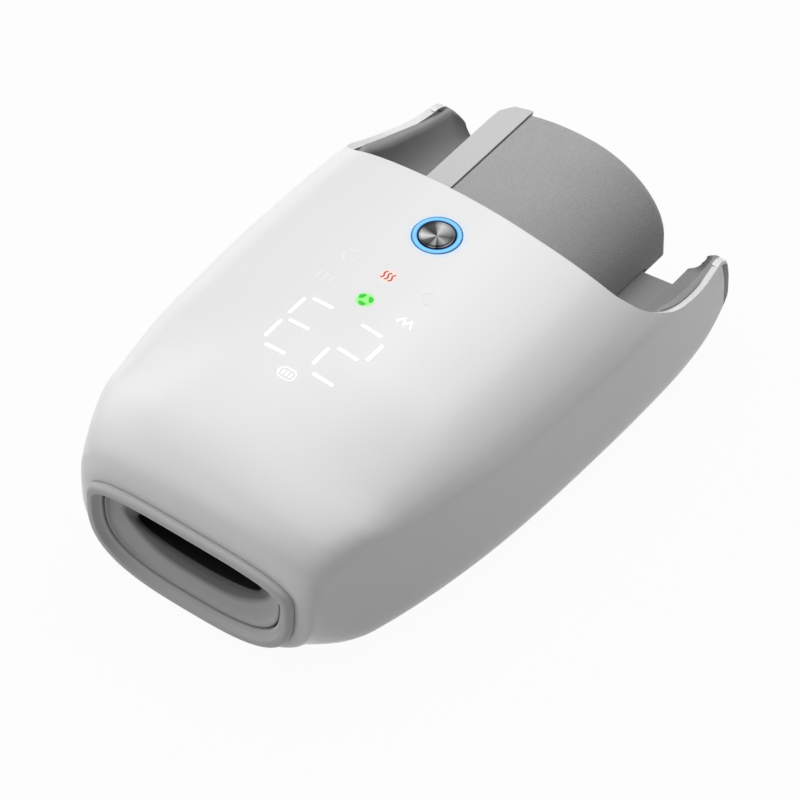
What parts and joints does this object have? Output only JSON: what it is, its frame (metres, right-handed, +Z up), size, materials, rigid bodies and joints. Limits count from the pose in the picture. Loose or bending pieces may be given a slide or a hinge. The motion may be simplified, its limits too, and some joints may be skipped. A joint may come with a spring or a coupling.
{
  "type": "air-pressure hand massager",
  "caption": "Heated and fan-cooled air-pressure massager for one hand, with a cushioned palm rest, fingertip window, lit display and a press button.",
  "frame": {"origin": "middle of the footprint, on the plane that the rubber feet stand on", "axes": "+Z up; -Y towards the fingertip window, +Y towards the hand opening and the palm rest's rear end; +X to the right seen from the hand opening's far side, with the button on top"},
  "size_m": [0.1358, 0.2228, 0.0753],
  "materials": {
    "white_gloss": "high-gloss injection-moulded white",
    "mid_grey": "satin moulded mid grey",
    "light_grey": "satin moulded light grey",
    "cloth": "fine woven grey cloth over foam",
    "circuit_board": "green solder mask",
    "steel": "brushed or plated steel",
    "dark_plastic": "satin black moulding",
    "rubber": "matte black rubber",
    "silicone": "translucent milky silicone",
    "light_plastic": "clear light guide with a blue glow",
    "cell_wrap": "shrink-wrapped cylindrical cell",
    "heater": "thin film with copper-coloured tracks"
  },
  "bodies": {
    "housing": {"top_shell": "white_gloss", "light_ring": "light_plastic", "button_switch": "dark_plastic", "display_board": "circuit_board", "display_guide": "light_grey", "upper_carrier": "light_grey", "upper_airbag": "cloth", "front_bezel": "light_grey", "front_funnel": "light_grey", "left_side_liner": "mid_grey", "right_side_liner": "mid_grey", "lower_deck": "mid_grey", "finger_pad": "cloth", "palm_rest_frame": "light_grey", "palm_cushion": "cloth", "heating_film": "heater", "base_shell": "mid_grey", "battery_holder": "dark_plastic", "battery_cell_left": "cell_wrap", "battery_cell_right": "cell_wrap", "main_board": "circuit_board", "charging_socket": "steel", "pump_cradle": "rubber", "pump_motor": "steel", "pump_head": "dark_plastic", "air_valve": "dark_plastic", "supply_hose": "silicone", "airbag_hose": "silicone", "fan_housing": "dark_plastic", "vibration_motor": "steel", "case_screw_1": "steel", "rubber_foot_1": "rubber", "case_screw_2": "steel", "rubber_foot_2": "rubber", "case_screw_3": "steel", "rubber_foot_3": "rubber", "case_screw_4": "steel", "rubber_foot_4": "rubber"},
    "button": {"button_cap": "steel"},
    "fan_rotor": {"fan_impeller": "dark_plastic"},
    "pump_shaft": {"pump_crank": "steel"},
    "shaker_rotor": {"vibration_weight": "steel"},
    "valve_rod": {"valve_plunger": "steel"}
  },
  "joints": [
    {"name": "button_press", "type": "slide", "parent": "housing", "child": "button", "axis": [0, 0, -1], "range_m": [0, 0.0008], "stiffness_N_per_m": 2000, "springref_m": -0.0002},
    {"name": "valve_slide", "type": "slide", "parent": "housing", "child": "valve_rod", "axis": [0, 1, 0], "range_m": [0, 0.0012], "stiffness_N_per_m": 600, "springref_m": -0.0004},
    {"name": "fan_spin", "type": "hinge", "parent": "housing", "child": "fan_rotor", "pos_m": [0, -0.0415, 0.0088], "axis": [0, 0, 1], "continuous": true},
    {"name": "pump_crank_spin", "type": "hinge", "parent": "housing", "child": "pump_shaft", "pos_m": [-0.0075, 0.0724, 0.0168], "axis": [1, 0, 0], "continuous": true},
    {"name": "shaker_spin", "type": "hinge", "parent": "housing", "child": "shaker_rotor", "pos_m": [0.008, -0.015, 0.0102], "axis": [1, 0, 0], "continuous": true}
  ]
}
